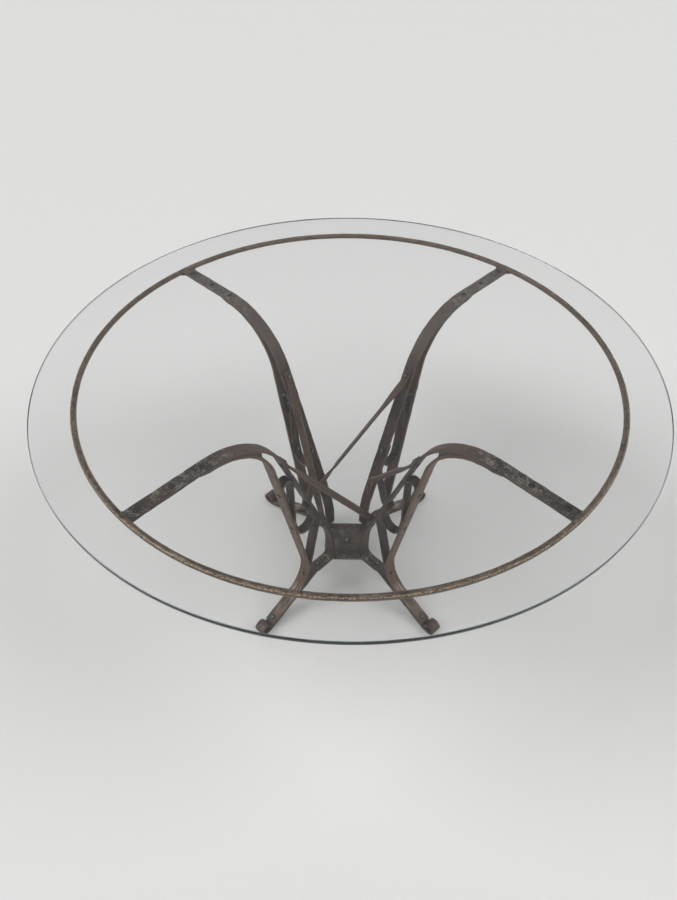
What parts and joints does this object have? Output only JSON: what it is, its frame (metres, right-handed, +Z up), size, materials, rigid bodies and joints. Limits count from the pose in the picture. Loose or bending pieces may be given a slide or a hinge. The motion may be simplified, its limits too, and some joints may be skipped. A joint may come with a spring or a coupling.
{
  "type": "round dining table",
  "caption": "Round dining table: a loose clear glass top on a round bar ring, carried by bent flat-iron legs with scrolls and twisted braces, riveted to a hub plate.",
  "frame": {"origin": "on the floor under the centre of the round top", "axes": "+Z up, +Y away from the picture's viewer, +X to the viewer's right"},
  "size_m": [1.3998, 1.4, 0.75],
  "materials": {
    "clear_glass": "clear, polished, with a green-blue edge",
    "dark_iron": "dark brown-grey forged iron, pitted and waxed",
    "rust_brown_iron": "reddish brown rusted iron, rubbed and waxed",
    "worn_iron": "rivet heads, dark with worn crowns"
  },
  "bodies": {
    "base": {"arm_plugs": "dark_iron", "cross_brace_front_left": "rust_brown_iron", "cross_brace_front_right": "rust_brown_iron", "cross_brace_rear_left": "rust_brown_iron", "cross_brace_rear_right": "rust_brown_iron", "cross_high_rivets": "worn_iron", "cross_low_rivets": "worn_iron", "foot_rivets": "worn_iron", "hub_centre_rivet": "worn_iron", "hub_plate": "dark_iron", "hub_rivets": "worn_iron", "knee_brace_front_left": "dark_iron", "knee_brace_front_right": "dark_iron", "knee_brace_rear_left": "dark_iron", "knee_brace_rear_right": "dark_iron", "knee_rivets": "worn_iron", "lap_rivets": "worn_iron", "leg_strap_front_left": "dark_iron", "leg_strap_front_right": "dark_iron", "leg_strap_rear_left": "dark_iron", "leg_strap_rear_right": "dark_iron", "outer_strap_front_left": "rust_brown_iron", "outer_strap_front_right": "rust_brown_iron", "outer_strap_rear_left": "rust_brown_iron", "outer_strap_rear_right": "rust_brown_iron", "ring_welds": "dark_iron", "scroll_front_left": "dark_iron", "scroll_front_right": "dark_iron", "scroll_hook_rivets": "worn_iron", "scroll_low_rivets": "worn_iron", "scroll_rear_left": "dark_iron", "scroll_rear_right": "dark_iron", "scroll_seat_rivets": "worn_iron", "top_ring": "rust_brown_iron", "wedge_front_left": "rust_brown_iron", "wedge_front_right": "rust_brown_iron", "wedge_rear_left": "rust_brown_iron", "wedge_rear_right": "rust_brown_iron"},
    "glass": {"glass_top": "clear_glass"}
  },
  "joints": [
    {"name": "glass_lift", "type": "slide", "parent": "base", "child": "glass", "axis": [0, 0, 1], "range_m": [0, 0.2]}
  ]
}
